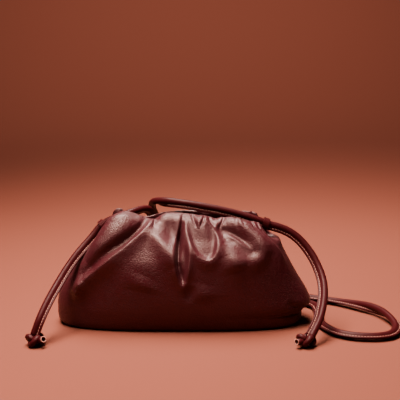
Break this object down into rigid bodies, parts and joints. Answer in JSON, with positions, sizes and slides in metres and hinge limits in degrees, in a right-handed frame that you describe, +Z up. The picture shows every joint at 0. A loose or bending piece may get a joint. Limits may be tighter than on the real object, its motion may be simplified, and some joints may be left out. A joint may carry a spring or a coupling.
{
  "type": "gathered pouch bag with rolled strap",
  "caption": "Soft gathered leather pouch bag that stands on its base, with a rolled strap that runs through corner loops and ends in knots.",
  "frame": {"origin": "centre of the pouch's footprint, on the floor it stands on", "axes": "+Z up, +X along the pouch's length to the right as the front is seen, and the gathered front faces -Y"},
  "size_m": [0.361, 0.1738, 0.1245],
  "materials": {
    "pouch_leather": "soft pebbled grain, satin",
    "strap_leather": "smooth, stitched along one edge, satin",
    "frame_cover": "smooth, dull"
  },
  "bodies": {
    "root": {"pouch_body": "pouch_leather", "closing_frame": "frame_cover", "strap_loop_left": "strap_leather", "strap_loop_right": "strap_leather", "strap_tail_left": "strap_leather", "strap_tail_right": "strap_leather", "strap_long_run": "strap_leather", "strap_knot_left": "strap_leather", "strap_knot_right": "strap_leather"}
  },
  "joints": []
}
